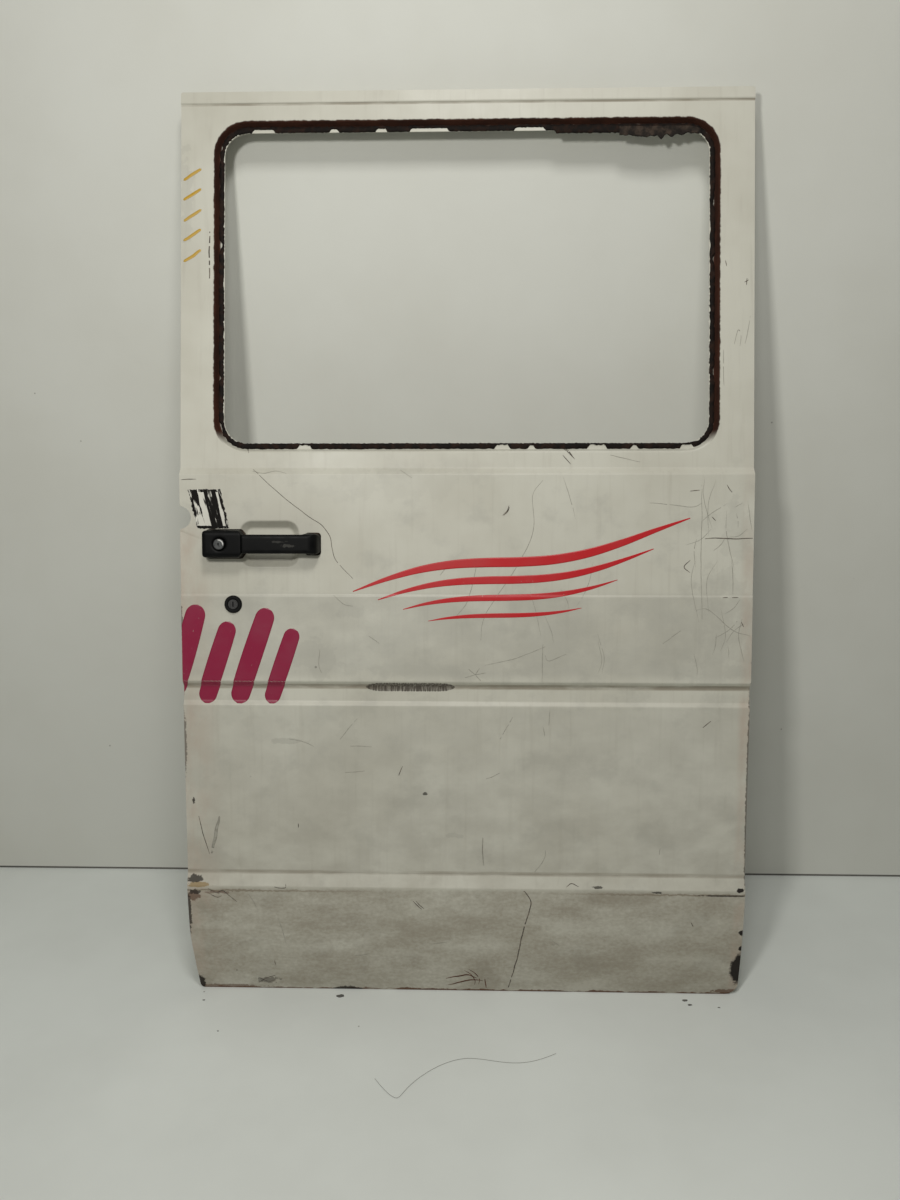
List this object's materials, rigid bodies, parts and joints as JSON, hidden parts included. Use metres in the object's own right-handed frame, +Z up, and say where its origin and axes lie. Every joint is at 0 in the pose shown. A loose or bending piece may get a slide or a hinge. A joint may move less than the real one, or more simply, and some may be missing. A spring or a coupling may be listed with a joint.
{
  "type": "van sliding door",
  "caption": "Bare pressed-steel van side door with an empty rounded window opening, a black pull handle with push button, a key lock and pressed body creases.",
  "frame": {"origin": "middle of the flat outer face of the lower roller arm's plate, on the inner side of the door", "axes": "+X to the rear edge (right, seen from outside), +Y into the vehicle, +Z up"},
  "size_m": [1, 0.1318, 1.615],
  "materials": {
    "body_paint": "worn off-white",
    "black_plastic": "satin black",
    "rubber": "aged rubber",
    "old_sealant": "cured, torn",
    "worn_chrome": "dulled",
    "zinc": "zinc plated"
  },
  "bodies": {
    "door": {"outer_skin": "body_paint", "window_surround": "body_paint", "front_channel": "body_paint", "bottom_channel": "body_paint", "rear_channel": "body_paint", "inner_lower_panel": "body_paint", "inner_window_frame": "body_paint", "belt_beam": "body_paint", "mid_stiffener": "body_paint", "lower_stiffener": "body_paint", "window_sealant": "old_sealant", "rubber_scrap": "rubber", "handle_block": "black_plastic", "handle_bar": "black_plastic", "block_gasket": "rubber", "foot_gasket": "rubber", "lock_bezel": "black_plastic", "lock_clip": "zinc", "latch_case": "zinc", "latch_claw": "zinc", "latch_pawl": "zinc", "latch_pins": "zinc", "release_rod": "zinc", "release_escutcheon": "black_plastic", "release_lever": "black_plastic", "lower_arm_plate": "body_paint", "centre_carriage_plate": "body_paint", "upper_roller_plate": "body_paint", "guide_wedges": "black_plastic", "rubber_plugs": "rubber"},
    "button": {"push_button": "worn_chrome"},
    "key_barrel": {"lock_barrel": "zinc", "lock_tail": "zinc"}
  },
  "joints": [
    {"name": "button_press", "type": "slide", "parent": "door", "child": "button", "axis": [0, 1, 0], "range_m": [0, 0.006], "stiffness_N_per_m": 1200},
    {"name": "key_turn", "type": "hinge", "parent": "door", "child": "key_barrel", "pos_m": [-0.0572, -0.0645, 0.627], "axis": [0, 1, 0], "range_deg": [0, 90]}
  ]
}
